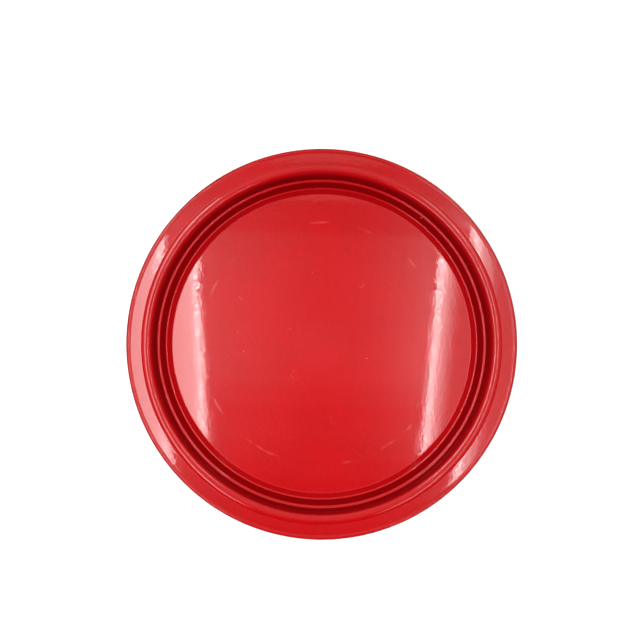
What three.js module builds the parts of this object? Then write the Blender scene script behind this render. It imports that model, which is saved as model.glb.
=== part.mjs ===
// A round, shallow steel serving tray. One disc of sheet is pressed into a dish with a
// stepped wall, a raised lip and a flat flange, and its edge is rolled round a steel wire.
// Millimetres, +Z up. The origin is under the middle of the base, on the table.

import * as THREE from 'three';

// Overall
const OUTER_RADIUS = 165;
const SHEET_THICKNESS = 0.5;

// Base: a flat disc ringed by a short chamfer
const BASE_FLAT_RADIUS = 129.6;
const BASE_CORNER_RADIUS = 1.2;
const CHAMFER_SLOPE = 40;
const CHAMFER_LENGTH = 4.4;

// Wall: two risers, each standing on a narrow rounded step
const STEP_SHOULDER_RADIUS = 1.2;
const STEP_SLOPE = 12;
const STEP_CORNER_RADIUS = 1.5;
const LOWER_RISER_SLOPE = 62;
const LOWER_RISER_LENGTH = 6.3;
const LEDGE_SHOULDER_RADIUS = 2.2;
const LEDGE_SLOPE = 10;
const LEDGE_CORNER_RADIUS = 1.8;
const UPPER_RISER_SLOPE = 80;
const UPPER_RISER_LENGTH = 4.4;

// Lip: the wall rolls over a crest and drops a little to a crease
const LIP_RADIUS = 7.2;
const LIP_BACK_SLOPE = -22.5;
const CREASE_RADIUS = 0.8;

// Flange and rolled edge. The flange takes up whatever length the outer radius leaves
const FLANGE_SLOPE = 2.75;
const BEAD_FOOT_RADIUS = 3;
const BEAD_FOOT_SLOPE = 28;
const BEAD_RADIUS = 2.1;
const BEAD_TOP_SLOPE = 0;
const BEAD_SIDE_SLOPE = -90;
const CURL_END_SLOPE = -280;

// Wire inside the rolled edge
const WIRE_CLEARANCE = 0.35;
const WIRE_SIDES = 12;

// Facets
const SEGMENTS = 48;
const MAX_BEND_STEP = 24;

const radians = THREE.MathUtils.degToRad;

// The sheet's section is a walk outwards from the middle. The walker keeps the radius,
// the height of the sheet's upper face and its slope in degrees.
function startWalk() {
  const walker = { r: 0, z: SHEET_THICKNESS, slope: 0, stations: [] };
  walker.stations.push({ r: walker.r, z: walker.z, slope: walker.slope });
  return walker;
}

function run(walker, length) {
  walker.r += length * Math.cos(radians(walker.slope));
  walker.z += length * Math.sin(radians(walker.slope));
  walker.stations.push({ r: walker.r, z: walker.z, slope: walker.slope });
}

// Bends the upper face round a radius until its slope is endSlope, and returns the
// centre of the bend. Rising slopes curve about a centre above the sheet, falling
// slopes about one below it.
function bend(walker, radius, endSlope) {
  const turn = endSlope - walker.slope;
  const side = Math.sign(turn);
  const startSlope = walker.slope;
  const centre = {
    r: walker.r - side * radius * Math.sin(radians(startSlope)),
    z: walker.z + side * radius * Math.cos(radians(startSlope)),
  };
  const steps = Math.ceil(Math.abs(turn) / MAX_BEND_STEP);
  for (let i = 1; i <= steps; i += 1) {
    walker.slope = startSlope + (turn * i) / steps;
    walker.r = centre.r + side * radius * Math.sin(radians(walker.slope));
    walker.z = centre.z - side * radius * Math.cos(radians(walker.slope));
    walker.stations.push({ r: walker.r, z: walker.z, slope: walker.slope });
  }
  return centre;
}

// How far the bead reaches out from the end of the flange's straight stretch
function beadReach() {
  const flange = Math.sin(radians(FLANGE_SLOPE));
  const foot = Math.sin(radians(BEAD_FOOT_SLOPE));
  return BEAD_FOOT_RADIUS * (foot - flange) + BEAD_RADIUS * (foot + 1);
}

function walkSection() {
  const walker = startWalk();
  run(walker, BASE_FLAT_RADIUS);
  bend(walker, BASE_CORNER_RADIUS, CHAMFER_SLOPE);
  run(walker, CHAMFER_LENGTH);
  bend(walker, STEP_SHOULDER_RADIUS, STEP_SLOPE);
  bend(walker, STEP_CORNER_RADIUS, LOWER_RISER_SLOPE);
  run(walker, LOWER_RISER_LENGTH);
  bend(walker, LEDGE_SHOULDER_RADIUS, LEDGE_SLOPE);
  bend(walker, LEDGE_CORNER_RADIUS, UPPER_RISER_SLOPE);
  run(walker, UPPER_RISER_LENGTH);
  bend(walker, LIP_RADIUS, LIP_BACK_SLOPE);
  bend(walker, CREASE_RADIUS, FLANGE_SLOPE);
  const flangeEnd = OUTER_RADIUS - beadReach();
  run(walker, (flangeEnd - walker.r) / Math.cos(radians(FLANGE_SLOPE)));
  bend(walker, BEAD_FOOT_RADIUS, BEAD_FOOT_SLOPE);
  // The bead is bent in three stages, so that stations fall on its top and its outer side
  const beadCentre = bend(walker, BEAD_RADIUS, BEAD_TOP_SLOPE);
  bend(walker, BEAD_RADIUS, BEAD_SIDE_SLOPE);
  bend(walker, BEAD_RADIUS, CURL_END_SLOPE);
  return { stations: walker.stations, beadCentre };
}

// The closed outline of the sheet: out along its lower face, back along its upper face
function sheetOutline(stations) {
  const upper = stations.map((s) => new THREE.Vector2(s.r, s.z));
  const lower = stations.map((s) => {
    const slope = radians(s.slope);
    return new THREE.Vector2(
      s.r + SHEET_THICKNESS * Math.sin(slope),
      s.z - SHEET_THICKNESS * Math.cos(slope),
    );
  });
  return [...lower, ...upper.reverse()];
}

function wireOutline(centre) {
  const radius = BEAD_RADIUS - SHEET_THICKNESS - WIRE_CLEARANCE;
  const outline = [];
  for (let i = 0; i <= WIRE_SIDES; i += 1) {
    const angle = (2 * Math.PI * (i % WIRE_SIDES)) / WIRE_SIDES;
    outline.push(new THREE.Vector2(
      centre.r + radius * Math.cos(angle),
      centre.z + radius * Math.sin(angle),
    ));
  }
  return outline;
}

// Spins an outline round the tray's axis, which stands along +Z
function spun(name, outline, material) {
  const mesh = new THREE.Mesh(new THREE.LatheGeometry(outline, SEGMENTS), material);
  mesh.name = name;
  mesh.rotation.x = Math.PI / 2;
  return mesh;
}

const redPaint = new THREE.MeshStandardMaterial({
  color: 0xc2161c,
  roughness: 0.3,
  metalness: 0,
});
const bareSteel = new THREE.MeshStandardMaterial({
  color: 0x9b9ea3,
  roughness: 0.4,
  metalness: 1,
});

const section = walkSection();
const tray = new THREE.Group();
tray.add(spun('pressed_dish', sheetOutline(section.stations), redPaint));
tray.add(spun('rim_wire', wireOutline(section.beadCentre), bareSteel));

export default tray;
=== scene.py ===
"""A red pressed-steel serving tray: the finished looks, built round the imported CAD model.

Everything is in metres, +Z up. The dish is spun here from the same driving dimensions as the
CAD section, but with round bends, and stands in for the faceted CAD solid.
"""
import math

import bpy
import mathutils
import numpy as np
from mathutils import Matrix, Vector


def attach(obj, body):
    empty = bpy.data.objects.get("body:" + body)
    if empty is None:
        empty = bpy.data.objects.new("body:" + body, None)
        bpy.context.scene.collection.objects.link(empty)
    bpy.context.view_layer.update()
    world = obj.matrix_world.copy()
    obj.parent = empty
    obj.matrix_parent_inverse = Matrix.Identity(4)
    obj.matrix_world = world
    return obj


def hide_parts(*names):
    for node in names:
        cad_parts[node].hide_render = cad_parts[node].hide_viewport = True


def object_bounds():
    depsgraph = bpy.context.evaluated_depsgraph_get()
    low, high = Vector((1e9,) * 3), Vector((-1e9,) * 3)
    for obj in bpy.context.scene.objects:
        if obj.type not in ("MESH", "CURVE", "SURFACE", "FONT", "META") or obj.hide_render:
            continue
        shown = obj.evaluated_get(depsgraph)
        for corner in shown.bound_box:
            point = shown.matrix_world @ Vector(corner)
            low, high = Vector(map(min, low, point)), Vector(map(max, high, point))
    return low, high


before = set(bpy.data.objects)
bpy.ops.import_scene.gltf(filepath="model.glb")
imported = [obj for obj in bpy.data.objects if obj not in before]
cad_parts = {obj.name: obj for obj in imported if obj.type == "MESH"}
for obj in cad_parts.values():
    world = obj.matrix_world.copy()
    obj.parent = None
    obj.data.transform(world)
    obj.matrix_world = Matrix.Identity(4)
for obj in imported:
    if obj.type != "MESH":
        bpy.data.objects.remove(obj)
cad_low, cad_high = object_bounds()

MM = 0.001

# ---------------------------------------------------------------- driving dimensions, in mm
OUTER_RADIUS = 165.0
SHEET_THICKNESS = 0.5
BASE_FLAT_RADIUS = 129.6
BASE_CORNER_RADIUS = 1.2
CHAMFER_SLOPE = 40.0
CHAMFER_LENGTH = 4.4
STEP_SHOULDER_RADIUS = 1.2
STEP_SLOPE = 12.0
STEP_CORNER_RADIUS = 1.5
LOWER_RISER_SLOPE = 62.0
LOWER_RISER_LENGTH = 6.3
LEDGE_SHOULDER_RADIUS = 2.2
LEDGE_SLOPE = 10.0
LEDGE_CORNER_RADIUS = 1.8
UPPER_RISER_SLOPE = 80.0
UPPER_RISER_LENGTH = 4.4
LIP_RADIUS = 7.2
LIP_BACK_SLOPE = -22.5
CREASE_RADIUS = 0.8
FLANGE_SLOPE = 2.75
BEAD_FOOT_RADIUS = 3.0
BEAD_FOOT_SLOPE = 28.0
BEAD_RADIUS = 2.1
BEAD_TOP_SLOPE = 0.0
BEAD_SIDE_SLOPE = -90.0
CURL_END_SLOPE = -280.0
WIRE_CLEARANCE = 0.35
WIRE_RADIUS = BEAD_RADIUS - SHEET_THICKNESS - WIRE_CLEARANCE

# ---------------------------------------------------------------- mesh density
SEGMENTS = 288
BEND_STEP = 6.0
BASE_RINGS = 8
FLANGE_RINGS = 4
WIRE_SIDES = 20

# ---------------------------------------------------------------- wear, in mm on the tray
RUB_RING_RADIUS = 105.5
RUB_RING_FADE = (0.1, 1.6)
SCRATCHES = (
    ((-71.8, 41.0), (-69.0, 37.6)),
    ((-30.0, 12.0), (-26.5, 13.0)),
    ((38.0, -14.0), (40.5, -12.2)),
)
SCRATCH_HALF_WIDTH = 0.22
CURL_FADE = (0.1, 0.6)
# centre x, centre y, radius
CURLS = ((-66.0, 81.0, 3.6), (-22.0, -27.0, 4.2), (12.5, -66.0, 5.0), (34.0, 52.0, 3.0))
CHIPS = ((-73.0, 10.0, 0.5), (-68.0, -7.0, 0.6), (85.5, 108.3, 0.7), (-8.0, 62.0, 0.4))
# The share of a mark's half size, from its middle, that is at full strength
SOLID_LENGTH = 0.7
SOLID_WIDTH = 0.3
SOLID_CHIP = 0.4
RING_STRENGTH = 0.17
CURL_STRENGTH = 0.16
CHIP_STRENGTH = 0.8
SPECK_STRENGTH = 0.30
UNDERSIDE_RUB_RADII = (114.0, 128.0)
# Heights in the base's sheet, from what counts as its underside to what doesn't
UNDERSIDE_HEIGHTS = (0.1, 0.3)

# ---------------------------------------------------------------- coats and colours
RED_DEEP = (0.255, 0.0010, 0.0022, 1)
RED_BRIGHT = (0.300, 0.0012, 0.0027, 1)
# The walls' red, darkened to paint in shade on the steep drawn sheet
RED_PAINTED_WALL_SHADE = (0.150, 0.0006, 0.0014, 1)
RED_SCUFFED = (0.72, 0.20, 0.19, 1)
RED_RUBBED = (0.30, 0.022, 0.022, 1)
# Painted shade on the walls: how upright the surface faces, from a wall painted wholly in the
# shaded red to one that isn't at all
WALL_SHADE_FACING = (0.50, 0.95)
ENAMEL_SPECULAR = 0.3
ENAMEL_ROUGHNESS = (0.045, 0.065)
ROUGHENED_BY_WEAR = 0.25
ROUGHENED_BY_RUBBING = 0.45
# cells to the metre and height in mm
PEEL = (420.0, 0.022)
RIPPLE = (120.0, 0.010)
SWELL = (14.0, 0.020)
WEAR_DEPTH = 0.012
SPECKS_PER_METRE = 75.0
SPECK_FADE = (0.012, 0.034)
CLOUDS_PER_METRE = 18.0
PATCHES_PER_METRE = 45.0
STEEL_DARK = (0.42, 0.42, 0.43, 1)
STEEL_BRIGHT = (0.60, 0.60, 0.62, 1)
FLOOR_DARK = (0.98, 0.98, 0.98, 1)
FLOOR_BRIGHT = (0.99, 0.99, 0.99, 1)

# ---------------------------------------------------------------- light and camera, in metres
# The light box's roof is a tilted plane over the tray, high at the near side. Two rows of
# small lamps run along it, each with lit cloth outside it, and the camera looks down through
# the dark opening between them. "Across" runs to the right of the camera's axis and "along"
# from it towards the near side.
ROOF_HEIGHT = 0.600
ROOF_TILT = 25.0
ROOF_TURN = -1.4
ROOF_FAR = -0.28
ROOF_NEAR = 0.62
ROWS = (-0.2006, 0.1914)
LAMP_PITCH = 0.017
LAMP_SIZE = 0.009
LAMP_GLOW = 46.0
LAMPS_FAR = -0.27
LAMPS_NEAR = 0.33
# Past its last lamp each row goes on as a plain tube
TUBE_GLOW = 9.0
# name, across from and to, along from and to, brightness
PANELS = (
    ("left_outer", -0.90, -0.45, ROOF_FAR, ROOF_NEAR, 0.55),
    ("left_wall", -0.45, -0.31, ROOF_FAR, ROOF_NEAR, 1.6),
    ("left_fade", -0.31, -0.262, ROOF_FAR, ROOF_NEAR, 7.0),
    ("left_cloth_1", -0.262, -0.234, ROOF_FAR, ROOF_NEAR, 11.5),
    ("left_cloth_2", -0.234, -0.215, ROOF_FAR, ROOF_NEAR, 13.0),
    ("left_cloth_3", -0.215, -0.202, ROOF_FAR, ROOF_NEAR, 14.5),
    ("right_cloth_1", 0.193, 0.199, ROOF_FAR, ROOF_NEAR, 14.0),
    ("right_cloth_2", 0.199, 0.208, ROOF_FAR, ROOF_NEAR, 11.5),
    ("right_fade_1", 0.208, 0.216, ROOF_FAR, ROOF_NEAR, 8.0),
    ("right_fade_2", 0.216, 0.224, ROOF_FAR, ROOF_NEAR, 4.5),
    ("right_wall", 0.224, 0.31, ROOF_FAR, ROOF_NEAR, 1.9),
    ("right_dim", 0.31, 0.45, ROOF_FAR, ROOF_NEAR, 1.4),
    ("right_outer", 0.45, 0.90, ROOF_FAR, ROOF_NEAR, 0.55),
)
# The opening glows faintly, more towards the rows and in its middle. It is a grid of cells.
OPENING_ACROSS = (-0.194, 0.185)
OPENING_ALONG = (-0.26, 0.34)
OPENING_CELLS = (16, 15)
OPENING_GLOW = 0.75
OPENING_LEFT_RISE = 1.45
OPENING_LEFT_POWER = 1.3
OPENING_RIGHT_RISE = 2.50
OPENING_RIGHT_POWER = 2.5
OPENING_NEAR_FADE = (0.24, 0.37)
MIDDLE_FAR_FADE = (-0.18, -0.10)
MIDDLE_NEAR_FADE = (0.09, 0.21)
NEAR_HAZE = ("near_haze", -0.28, 0.28, 0.30, 0.50, 0.15)
BACK_CLOTH = ("back_cloth", -0.50, 0.50, -0.60, -0.196, 1.15)
PANEL_GAP = 0.002
# The pool lifts the base and the fill whitens the floor. Neither shows in reflections.
POOL_HEIGHT = 0.75
POOL_OFFSET = (0.0, -0.020)
POOL_RADIUS = 0.180
POOL_EDGE = 0.85
POOL_POWER = 9.5
POOL_SOFTNESS = 0.05
FILL_HEIGHT = 0.90
FILL_SIZE = 1.20
FILL_GLOW = 1.9
# The world's strength, low down and overhead
SURROUNDINGS = (0.03, 0.10)
FLOOR_HALF = 4.0
FLOOR_DROP = 0.0002
COOL_WHITE = (1.0, 1.0, 1.0)
WARM_WHITE = (1.0, 0.94, 0.80)
CAMERA_HEIGHT = 0.67
CAMERA_OFFSET = (-0.0014, 0.0205)
# What the picture spans at the height of the bead's outer side
FIELD_WIDTH = 0.540
SENSOR_WIDTH = 36.0


# ================================================================ the sheet's section
class Walk:
    """Walks the sheet's upper face outwards from the middle: radius, height, slope."""

    def __init__(self):
        self.r = 0.0
        self.z = SHEET_THICKNESS
        self.slope = 0.0
        self.stations = [(self.r, self.z, self.slope)]

    def mark(self):
        self.stations.append((self.r, self.z, self.slope))

    def run(self, length, parts):
        """Goes straight on, in a number of equal parts."""
        angle = math.radians(self.slope)
        for _ in range(parts):
            self.r += length / parts * math.cos(angle)
            self.z += length / parts * math.sin(angle)
            self.mark()

    def bend(self, radius, end_slope):
        """Follows an arc until the slope is end_slope, and returns the arc's centre."""
        side = math.copysign(1.0, end_slope - self.slope)
        start = self.slope
        centre_r = self.r - side * radius * math.sin(math.radians(start))
        centre_z = self.z + side * radius * math.cos(math.radians(start))
        steps = math.ceil(abs(end_slope - start) / BEND_STEP)
        for i in range(1, steps + 1):
            self.slope = start + (end_slope - start) * i / steps
            self.r = centre_r + side * radius * math.sin(math.radians(self.slope))
            self.z = centre_z - side * radius * math.cos(math.radians(self.slope))
            self.mark()
        return centre_r, centre_z


def bead_reach():
    """How far the bead reaches out from the end of the flange's straight stretch."""
    flange = math.sin(math.radians(FLANGE_SLOPE))
    foot = math.sin(math.radians(BEAD_FOOT_SLOPE))
    return BEAD_FOOT_RADIUS * (foot - flange) + BEAD_RADIUS * (foot + 1.0)


def walk_section():
    walk = Walk()
    walk.run(BASE_FLAT_RADIUS, BASE_RINGS)
    walk.bend(BASE_CORNER_RADIUS, CHAMFER_SLOPE)
    walk.run(CHAMFER_LENGTH, 2)
    walk.bend(STEP_SHOULDER_RADIUS, STEP_SLOPE)
    walk.bend(STEP_CORNER_RADIUS, LOWER_RISER_SLOPE)
    walk.run(LOWER_RISER_LENGTH, 3)
    walk.bend(LEDGE_SHOULDER_RADIUS, LEDGE_SLOPE)
    walk.bend(LEDGE_CORNER_RADIUS, UPPER_RISER_SLOPE)
    walk.run(UPPER_RISER_LENGTH, 2)
    walk.bend(LIP_RADIUS, LIP_BACK_SLOPE)
    walk.bend(CREASE_RADIUS, FLANGE_SLOPE)
    flange_end = OUTER_RADIUS - bead_reach()
    walk.run((flange_end - walk.r) / math.cos(math.radians(FLANGE_SLOPE)), FLANGE_RINGS)
    walk.bend(BEAD_FOOT_RADIUS, BEAD_FOOT_SLOPE)
    bead_centre = walk.bend(BEAD_RADIUS, BEAD_TOP_SLOPE)
    walk.bend(BEAD_RADIUS, BEAD_SIDE_SLOPE)
    walk.bend(BEAD_RADIUS, CURL_END_SLOPE)
    return walk.stations, bead_centre


# ================================================================ meshes
def spun_mesh(name, outline, capped):
    """A closed outline of (radius, height, slope) in mm and degrees, spun round Z, shaded with
    the true normals of the curve. A capped outline starts and ends on the axis; any other one
    is a ring and closes on itself."""
    inner = outline[1:-1] if capped else outline
    turns = np.linspace(0, 2 * math.pi, SEGMENTS, endpoint=False)
    across = np.cos(turns)
    along = np.sin(turns)
    points = []
    normals = []
    for r, z, slope in inner:
        lean = -math.sin(math.radians(slope))
        rise = math.cos(math.radians(slope))
        points.append(np.stack([r * across, r * along, np.full(SEGMENTS, z)], axis=1))
        normals.append(np.stack([lean * across, lean * along, np.full(SEGMENTS, rise)], axis=1))
    vertices = np.concatenate(points)
    normals = np.concatenate(normals)
    faces = []
    rings = len(inner)
    for i in range(rings if not capped else rings - 1):
        a = i * SEGMENTS
        b = (i + 1) % rings * SEGMENTS
        for s in range(SEGMENTS):
            t = (s + 1) % SEGMENTS
            faces.append((a + s, a + t, b + t, b + s))
    if capped:
        bottom = len(vertices)
        top = bottom + 1
        vertices = np.concatenate([vertices, [(0, 0, outline[0][1]), (0, 0, outline[-1][1])]])
        normals = np.concatenate([normals, [(0, 0, -1), (0, 0, 1)]])
        last = (rings - 1) * SEGMENTS
        for s in range(SEGMENTS):
            t = (s + 1) % SEGMENTS
            faces.append((bottom, t, s))
            faces.append((top, last + s, last + t))
    mesh = bpy.data.meshes.new(name)
    mesh.from_pydata((vertices * MM).tolist(), [], faces)
    mesh.shade_smooth()
    mesh.normals_split_custom_set_from_vertices(normals.tolist())
    piece = bpy.data.objects.new(name, mesh)
    bpy.context.scene.collection.objects.link(piece)
    return piece


def sheet_outline(stations):
    """Out along the lower face, which looks the other way, and back along the upper face."""
    lower = []
    for r, z, slope in stations:
        angle = math.radians(slope)
        low_r = r + SHEET_THICKNESS * math.sin(angle)
        low_z = z - SHEET_THICKNESS * math.cos(angle)
        lower.append((low_r, low_z, slope + 180.0))
    return lower + stations[::-1]


def wire_outline(centre):
    outline = []
    for i in range(WIRE_SIDES):
        turn = 360.0 * i / WIRE_SIDES
        r = centre[0] + WIRE_RADIUS * math.cos(math.radians(turn))
        z = centre[1] + WIRE_RADIUS * math.sin(math.radians(turn))
        outline.append((r, z, turn - 90.0))
    return outline


# ================================================================ materials
class Nodes:
    """Short ways to add and join shader nodes."""

    def __init__(self, name):
        self.material = bpy.data.materials.new(name)
        self.material.use_nodes = True
        self.tree = self.material.node_tree
        self.shader = self.tree.nodes["Principled BSDF"]

    def add(self, kind, **settings):
        node = self.tree.nodes.new(kind)
        for key, value in settings.items():
            setattr(node, key, value)
        return node

    def join(self, source, target):
        self.tree.links.new(source, target)

    def feed(self, socket, value):
        if isinstance(value, bpy.types.NodeSocket):
            self.join(value, socket)
        else:
            socket.default_value = value

    def math(self, operation, *values):
        node = self.add("ShaderNodeMath", operation=operation)
        for socket, value in zip(node.inputs, values):
            self.feed(socket, value)
        return node.outputs[0]

    def noise(self, vector, scale, detail, roughness=0.5):
        node = self.add("ShaderNodeTexNoise")
        self.join(vector, node.inputs["Vector"])
        node.inputs["Scale"].default_value = scale
        node.inputs["Detail"].default_value = detail
        node.inputs["Roughness"].default_value = roughness
        return node.outputs["Fac"]

    def step(self, value, low, high, to_low=0.0, to_high=1.0):
        """A smooth step from to_low, where the value is low, to to_high, where it is high."""
        node = self.add("ShaderNodeMapRange", interpolation_type="SMOOTHSTEP")
        self.feed(node.inputs["Value"], value)
        node.inputs["From Min"].default_value = low
        node.inputs["From Max"].default_value = high
        node.inputs["To Min"].default_value = to_low
        node.inputs["To Max"].default_value = to_high
        return node.outputs["Result"]

    def distance(self, x, y, centre_x, centre_y):
        """Distance on the plan from a centre given in mm."""
        across = self.math("SUBTRACT", x, centre_x * MM)
        along = self.math("SUBTRACT", y, centre_y * MM)
        across_squared = self.math("MULTIPLY", across, across)
        along_squared = self.math("MULTIPLY", along, along)
        return self.math("SQRT", self.math("ADD", across_squared, along_squared))

    def near_line(self, x, y, start, end, half_width):
        """1 on a straight mark between two points given in mm, 0 away from it."""
        run = (end[0] - start[0], end[1] - start[1])
        length = math.hypot(*run)
        middle = ((start[0] + end[0]) / 2, (start[1] + end[1]) / 2)
        across = self.math("SUBTRACT", x, middle[0] * MM)
        along = self.math("SUBTRACT", y, middle[1] * MM)
        ahead = self.math("ADD", self.math("MULTIPLY", across, run[0] / length),
                          self.math("MULTIPLY", along, run[1] / length))
        aside = self.math("SUBTRACT", self.math("MULTIPLY", across, run[1] / length),
                          self.math("MULTIPLY", along, run[0] / length))
        ahead = self.math("ABSOLUTE", ahead)
        aside = self.math("ABSOLUTE", aside)
        half_length = length / 2
        inside = self.step(ahead, half_length * MM * SOLID_LENGTH, half_length * MM, 1.0, 0.0)
        narrow = self.step(aside, half_width * MM * SOLID_WIDTH, half_width * MM, 1.0, 0.0)
        return self.math("MULTIPLY", inside, narrow)

    def mix(self, factor, first, second):
        node = self.add("ShaderNodeMix", data_type="RGBA")
        self.feed(node.inputs["Factor"], factor)
        self.feed(node.inputs["A"], first)
        self.feed(node.inputs["B"], second)
        return node.outputs["Result"]


def worn_marks(nodes, place, x, y, radius):
    """Where the coat is scuffed, 0 to 1: a rubbed ring, short scratches, curls and chips."""
    off_ring = nodes.math("ABSOLUTE", nodes.math("SUBTRACT", radius, RUB_RING_RADIUS * MM))
    ring = nodes.step(off_ring, RUB_RING_FADE[0] * MM, RUB_RING_FADE[1] * MM, 1.0, 0.0)
    patchy = nodes.step(nodes.noise(place, PATCHES_PER_METRE, 3.0), 0.50, 0.64)
    total = nodes.math("MULTIPLY", nodes.math("MULTIPLY", ring, patchy), RING_STRENGTH)
    broken = nodes.step(nodes.noise(place, 330.0, 2.0), 0.38, 0.56)
    partial = nodes.step(nodes.noise(place, 110.0, 1.0), 0.50, 0.62)
    for start, end in SCRATCHES:
        mark = nodes.near_line(x, y, start, end, SCRATCH_HALF_WIDTH)
        total = nodes.math("MAXIMUM", total, nodes.math("MULTIPLY", mark, broken))
    for centre_x, centre_y, size in CURLS:
        away = nodes.distance(x, y, centre_x, centre_y)
        off_curl = nodes.math("ABSOLUTE", nodes.math("SUBTRACT", away, size * MM))
        mark = nodes.step(off_curl, CURL_FADE[0] * MM, CURL_FADE[1] * MM, 1.0, 0.0)
        mark = nodes.math("MULTIPLY", mark, broken)
        mark = nodes.math("MULTIPLY", mark, partial)
        total = nodes.math("MAXIMUM", total, nodes.math("MULTIPLY", mark, CURL_STRENGTH))
    for centre_x, centre_y, size in CHIPS:
        away = nodes.distance(x, y, centre_x, centre_y)
        mark = nodes.step(away, size * MM * SOLID_CHIP, size * MM, CHIP_STRENGTH, 0.0)
        total = nodes.math("MAXIMUM", total, mark)
    return total


def red_enamel():
    """Glossy red stoving enamel: fine orange peel, faint clouds, scuffs and a rubbed underside."""
    nodes = Nodes("red_enamel")
    place = nodes.add("ShaderNodeTexCoord").outputs["Object"]
    shader = nodes.shader
    split = nodes.add("ShaderNodeSeparateXYZ")
    nodes.join(place, split.inputs[0])
    x, y, z = split.outputs
    radius = nodes.distance(x, y, 0.0, 0.0)

    clouds = nodes.noise(place, CLOUDS_PER_METRE, 3.0)
    mottle = nodes.noise(place, PEEL[0], 1.0)
    tone = nodes.math("MULTIPLY_ADD", mottle, 0.6, nodes.math("MULTIPLY", clouds, 0.4))
    colour = nodes.mix(nodes.step(tone, 0.3, 0.7), RED_DEEP, RED_BRIGHT)

    # Painted shade: the coat is coloured a deeper red where the sheet is drawn steep, darkening
    # the walls as shade would
    facing = nodes.add("ShaderNodeSeparateXYZ")
    nodes.join(nodes.add("ShaderNodeTexCoord").outputs["Normal"], facing.inputs[0])
    upright = nodes.math("ABSOLUTE", facing.outputs[2])
    painted_wall_shade = nodes.step(upright, *WALL_SHADE_FACING, 1.0, 0.0)
    colour = nodes.mix(painted_wall_shade, colour, RED_PAINTED_WALL_SHADE)

    marks = worn_marks(nodes, place, x, y, radius)
    dots = nodes.add("ShaderNodeTexVoronoi")
    nodes.join(place, dots.inputs["Vector"])
    dots.inputs["Scale"].default_value = SPECKS_PER_METRE
    specks = nodes.step(dots.outputs["Distance"], *SPECK_FADE, SPECK_STRENGTH, 0.0)
    upper = nodes.step(z, UNDERSIDE_HEIGHTS[0] * MM, UNDERSIDE_HEIGHTS[1] * MM)
    worn = nodes.math("MULTIPLY", nodes.math("MAXIMUM", marks, specks), upper)

    under = nodes.math("SUBTRACT", 1.0, upper)
    inner_rub, outer_rub = UNDERSIDE_RUB_RADII
    foot = nodes.math("MULTIPLY", under, nodes.step(radius, inner_rub * MM, outer_rub * MM))
    dragged = nodes.step(nodes.noise(place, 120.0, 6.0, 0.7), 0.46, 0.62)
    rubbed = nodes.math("MULTIPLY", nodes.math("MULTIPLY", foot, dragged), 0.8)

    colour = nodes.mix(nodes.math("MULTIPLY", worn, 0.6), colour, RED_SCUFFED)
    colour = nodes.mix(rubbed, colour, RED_RUBBED)
    nodes.join(colour, shader.inputs["Base Color"])

    rough = nodes.step(nodes.noise(place, 90.0, 4.0), 0.3, 0.7, *ENAMEL_ROUGHNESS)
    rough = nodes.math("MULTIPLY_ADD", worn, ROUGHENED_BY_WEAR, rough)
    rough = nodes.math("MULTIPLY_ADD", rubbed, ROUGHENED_BY_RUBBING, rough)
    nodes.join(rough, shader.inputs["Roughness"])
    shader.inputs["Specular IOR Level"].default_value = ENAMEL_SPECULAR

    height = nodes.math("MULTIPLY", nodes.noise(place, PEEL[0], 1.0), PEEL[1])
    height = nodes.math("MULTIPLY_ADD", nodes.noise(place, RIPPLE[0], 1.0), RIPPLE[1], height)
    height = nodes.math("MULTIPLY_ADD", nodes.noise(place, SWELL[0], 1.0), SWELL[1], height)
    height = nodes.math("MULTIPLY_ADD", worn, -WEAR_DEPTH, height)
    bump = nodes.add("ShaderNodeBump")
    bump.inputs["Strength"].default_value = 1.0
    bump.inputs["Distance"].default_value = MM
    nodes.join(height, bump.inputs["Height"])
    nodes.join(bump.outputs["Normal"], shader.inputs["Normal"])
    return nodes.material


def drawn_steel():
    """The bare wire inside the bead."""
    nodes = Nodes("drawn_steel")
    place = nodes.add("ShaderNodeTexCoord").outputs["Object"]
    shader = nodes.shader
    streaks = nodes.noise(place, 900.0, 3.0)
    colour = nodes.mix(nodes.step(streaks, 0.35, 0.65), STEEL_DARK, STEEL_BRIGHT)
    nodes.join(colour, shader.inputs["Base Color"])
    nodes.join(nodes.step(streaks, 0.3, 0.7, 0.3, 0.5), shader.inputs["Roughness"])
    shader.inputs["Metallic"].default_value = 1.0
    return nodes.material


def pale_floor():
    """The white ground of the light box, very slightly flecked."""
    nodes = Nodes("pale_floor")
    place = nodes.add("ShaderNodeTexCoord").outputs["Object"]
    fleck = nodes.noise(place, 60.0, 4.0)
    colour = nodes.mix(nodes.step(fleck, 0.3, 0.7), FLOOR_DARK, FLOOR_BRIGHT)
    nodes.join(colour, nodes.shader.inputs["Base Color"])
    nodes.shader.inputs["Roughness"].default_value = 0.9
    return nodes.material


# ================================================================ the pieces
stations, bead_centre = walk_section()

dish = spun_mesh("tray_dish", sheet_outline(stations), capped=True)
dish.data.materials.append(red_enamel())
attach(dish, "root")
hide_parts("pressed_dish")

wire = spun_mesh("tray_rim_wire", wire_outline(bead_centre), capped=False)
wire.data.materials.append(drawn_steel())
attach(wire, "root")
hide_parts("rim_wire")


# ================================================================ stage, light and camera
def make_floor():
    half = FLOOR_HALF
    mesh = bpy.data.meshes.new("floor")
    corners = [(-half, -half, 0), (half, -half, 0), (half, half, 0), (-half, half, 0)]
    mesh.from_pydata(corners, [], [(0, 1, 2, 3)])
    floor = bpy.data.objects.new("floor", mesh)
    floor.location.z = -FLOOR_DROP
    bpy.context.scene.collection.objects.link(floor)
    mesh.materials.append(pale_floor())


def roof_axes():
    """The roof's own axes: X across to the right, Y along to the far side, Z up."""
    place = mathutils.Matrix.Translation((*CAMERA_OFFSET, ROOF_HEIGHT))
    turn = mathutils.Matrix.Rotation(math.radians(ROOF_TURN), 4, "Z")
    tilt = mathutils.Matrix.Rotation(math.radians(-ROOF_TILT), 4, "X")
    return place @ turn @ tilt


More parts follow.
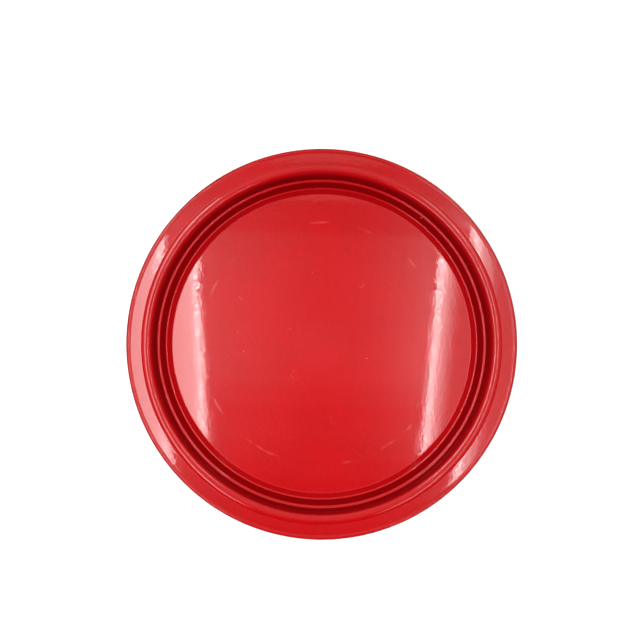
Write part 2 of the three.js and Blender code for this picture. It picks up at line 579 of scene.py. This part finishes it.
def add_lamp(name, place, size, brightness, colour=COOL_WHITE, shape="RECTANGLE"):
    """A flat lamp facing down its own Z axis. Its power is pi times its brightness and size."""
    light = bpy.data.lights.new(name, "AREA")
    light.shape = shape
    light.size = size[0]
    light.size_y = size[1]
    light.energy = math.pi * size[0] * size[1] * brightness
    light.color = colour
    lamp = bpy.data.objects.new(name, light)
    lamp.matrix_world = place
    lamp.visible_camera = False
    bpy.context.scene.collection.objects.link(lamp)
    return lamp


def roof_place(across, along, rise):
    """A place on the roof, raised off it by rise. Lamps that overlap are raised differently."""
    return roof_axes() @ mathutils.Matrix.Translation((across, -along, rise))


def add_panel(panel, rise, colour=COOL_WHITE):
    """A named rectangle of the roof. Where two overlap, their light adds up."""
    name, left, right, far, near, brightness = panel
    place = roof_place((left + right) / 2, (far + near) / 2, rise)
    add_lamp(name, place, (right - left, near - far), brightness, colour)


def ease(value, low, high):
    """0 up to low, 1 from high, and smooth between them."""
    t = min(max((value - low) / (high - low), 0.0), 1.0)
    return t * t * (3.0 - 2.0 * t)


def opening_brightness(across, along):
    """The glow at one place in the opening."""
    left, right = OPENING_ACROSS
    if across < 0:
        sides = OPENING_GLOW + OPENING_LEFT_RISE * (across / left) ** OPENING_LEFT_POWER
    else:
        sides = OPENING_GLOW + OPENING_RIGHT_RISE * (across / right) ** OPENING_RIGHT_POWER
    whole = 1.0 - ease(along, *OPENING_NEAR_FADE)
    middle = ease(along, *MIDDLE_FAR_FADE) * (1.0 - ease(along, *MIDDLE_NEAR_FADE))
    return sides * (whole + middle) / 2


def add_opening(rise):
    columns, lines = OPENING_CELLS
    width = (OPENING_ACROSS[1] - OPENING_ACROSS[0]) / columns
    length = (OPENING_ALONG[1] - OPENING_ALONG[0]) / lines
    for i in range(columns):
        left = OPENING_ACROSS[0] + i * width
        for j in range(lines):
            far = OPENING_ALONG[0] + j * length
            brightness = opening_brightness(left + width / 2, far + length / 2)
            cell = (f"opening_{i}_{j}", left, left + width, far, far + length, brightness)
            add_panel(cell, rise)


def add_pool():
    """Soft light from straight above, brightest on the base and kept out of the gloss."""
    light = bpy.data.lights.new("pool", "SPOT")
    light.energy = POOL_POWER
    light.shadow_soft_size = POOL_SOFTNESS
    light.spot_size = 2 * math.atan(POOL_RADIUS / POOL_HEIGHT)
    light.spot_blend = POOL_EDGE
    pool = bpy.data.objects.new("pool", light)
    pool.location = (*POOL_OFFSET, POOL_HEIGHT)
    pool.visible_camera = False
    pool.visible_glossy = False
    bpy.context.scene.collection.objects.link(pool)


def add_fill():
    """The bright room: a wide light that whitens the floor, kept out of the gloss."""
    place = mathutils.Matrix.Translation((0.0, 0.0, FILL_HEIGHT))
    fill = add_lamp("fill", place, (FILL_SIZE, FILL_SIZE), FILL_GLOW)
    fill.visible_glossy = False


def make_light_box():
    for i, panel in enumerate(PANELS):
        add_panel(panel, i * PANEL_GAP)
    add_panel(BACK_CLOTH, len(PANELS) * PANEL_GAP, WARM_WHITE)
    add_panel(NEAR_HAZE, len(PANELS) * PANEL_GAP)
    add_opening((len(PANELS) + 1) * PANEL_GAP)
    count = int((LAMPS_NEAR - LAMPS_FAR) / LAMP_PITCH)
    for side, across in enumerate(ROWS):
        for i in range(count):
            place = roof_place(across, LAMPS_FAR + (i + 0.5) * LAMP_PITCH, -PANEL_GAP)
            name = f"lamp_{side}_{i}"
            add_lamp(name, place, (LAMP_SIZE, LAMP_SIZE), LAMP_GLOW, shape="DISK")
        left = across - LAMP_SIZE
        right = across + LAMP_SIZE
        add_panel((f"tube_{side}", left, right, LAMPS_NEAR, ROOF_NEAR, TUBE_GLOW), -PANEL_GAP)
    add_pool()
    add_fill()


def make_world():
    """Dim surroundings, a little brighter overhead."""
    world = bpy.data.worlds.new("studio")
    bpy.context.scene.world = world
    world.use_nodes = True
    tree = world.node_tree
    background = tree.nodes["Background"]
    place = tree.nodes.new("ShaderNodeTexCoord")
    split = tree.nodes.new("ShaderNodeSeparateXYZ")
    tree.links.new(place.outputs["Generated"], split.inputs[0])
    ramp = tree.nodes.new("ShaderNodeMapRange")
    ramp.interpolation_type = "SMOOTHSTEP"
    ramp.inputs["From Min"].default_value = 0.1
    ramp.inputs["From Max"].default_value = 0.9
    ramp.inputs["To Min"].default_value = SURROUNDINGS[0]
    ramp.inputs["To Max"].default_value = SURROUNDINGS[1]
    tree.links.new(split.outputs["Z"], ramp.inputs["Value"])
    tree.links.new(ramp.outputs["Result"], background.inputs["Strength"])
    background.inputs["Color"].default_value = (1, 1, 1, 1)


def make_camera():
    data = bpy.data.cameras.new("camera")
    data.sensor_width = SENSOR_WIDTH
    bead_side = cad_high.z - BEAD_RADIUS * MM
    data.lens = SENSOR_WIDTH * (CAMERA_HEIGHT - bead_side) / FIELD_WIDTH
    camera = bpy.data.objects.new("camera", data)
    camera.location = (*CAMERA_OFFSET, CAMERA_HEIGHT)
    bpy.context.scene.collection.objects.link(camera)
    bpy.context.scene.camera = camera


make_floor()
make_world()
make_light_box()
make_camera()
bpy.context.scene.view_settings.view_transform = "Standard"
